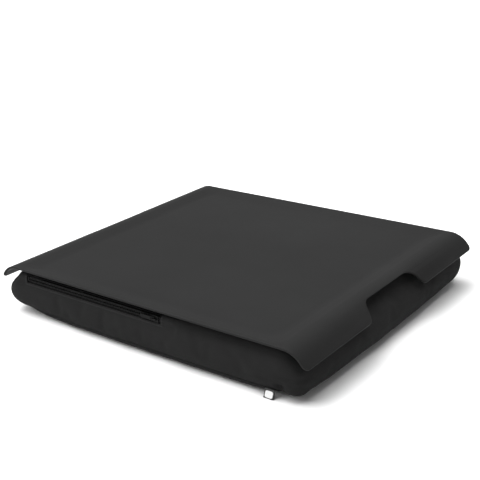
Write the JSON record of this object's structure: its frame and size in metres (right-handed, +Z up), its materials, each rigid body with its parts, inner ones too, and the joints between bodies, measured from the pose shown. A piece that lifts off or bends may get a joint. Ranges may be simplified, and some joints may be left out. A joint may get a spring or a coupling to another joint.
{
  "type": "lap tray with cushion",
  "caption": "Dished rectangular tray with down-curved carrying wings and hand cut-outs, held by hook and loop strips on a bead-filled zipped cushion.",
  "frame": {"origin": "on the surface that the cushion stands on, under the middle of the tray", "axes": "+Z up out of the tray's work field; X along the tray's long side, between the two hand grips; -Y towards the side with the zip"},
  "size_m": [0.4514, 0.3817, 0.062],
  "materials": {
    "tray_plastic": "black moulded ABS with a fine matt grain",
    "cover_cloth": "black plain-woven polyester",
    "liner_cloth": "undyed thin lining cloth",
    "beads": "white expanded polystyrene beads",
    "hook_tape": "black hook tape",
    "loop_tape": "black loop tape",
    "zip_tape": "black woven zip tape",
    "zip_teeth": "black moulded teeth",
    "zip_metal": "black painted die casting",
    "label_ribbon": "black satin ribbon"
  },
  "bodies": {
    "cushion": {"cover_top_panel": "cover_cloth", "cover_side_band": "cover_cloth", "cover_bottom_panel": "cover_cloth", "liner_bag": "liner_cloth", "bead_filling": "beads", "zip_tape_upper": "zip_tape", "zip_tape_lower": "zip_tape", "zip_teeth_upper": "zip_teeth", "zip_teeth_lower": "zip_teeth", "zip_bottom_stop": "zip_teeth", "zip_top_stop": "zip_teeth", "label_loop": "label_ribbon", "loop_strip_front_left": "loop_tape", "loop_strip_front_right": "loop_tape", "loop_strip_rear_left": "loop_tape", "loop_strip_rear_right": "loop_tape"},
    "tray": {"tray_panel": "tray_plastic", "hook_strip_front_left": "hook_tape", "hook_strip_front_right": "hook_tape", "hook_strip_rear_left": "hook_tape", "hook_strip_rear_right": "hook_tape"},
    "zip_slider": {"zip_slider": "zip_metal"},
    "zip_pull": {"zip_pull": "zip_metal"}
  },
  "joints": [
    {"name": "tray_lift", "type": "slide", "parent": "cushion", "child": "tray", "axis": [0, 0, 1], "range_m": [0, 0.1]},
    {"name": "zip_slide", "type": "slide", "parent": "cushion", "child": "zip_slider", "axis": [1, 0, 0], "range_m": [-0.2007, 0]},
    {"name": "pull_swing", "type": "hinge", "parent": "zip_slider", "child": "zip_pull", "pos_m": [0.028, -0.18815, 0.049], "axis": [0, 0, 1], "range_deg": [0, 180]}
  ]
}
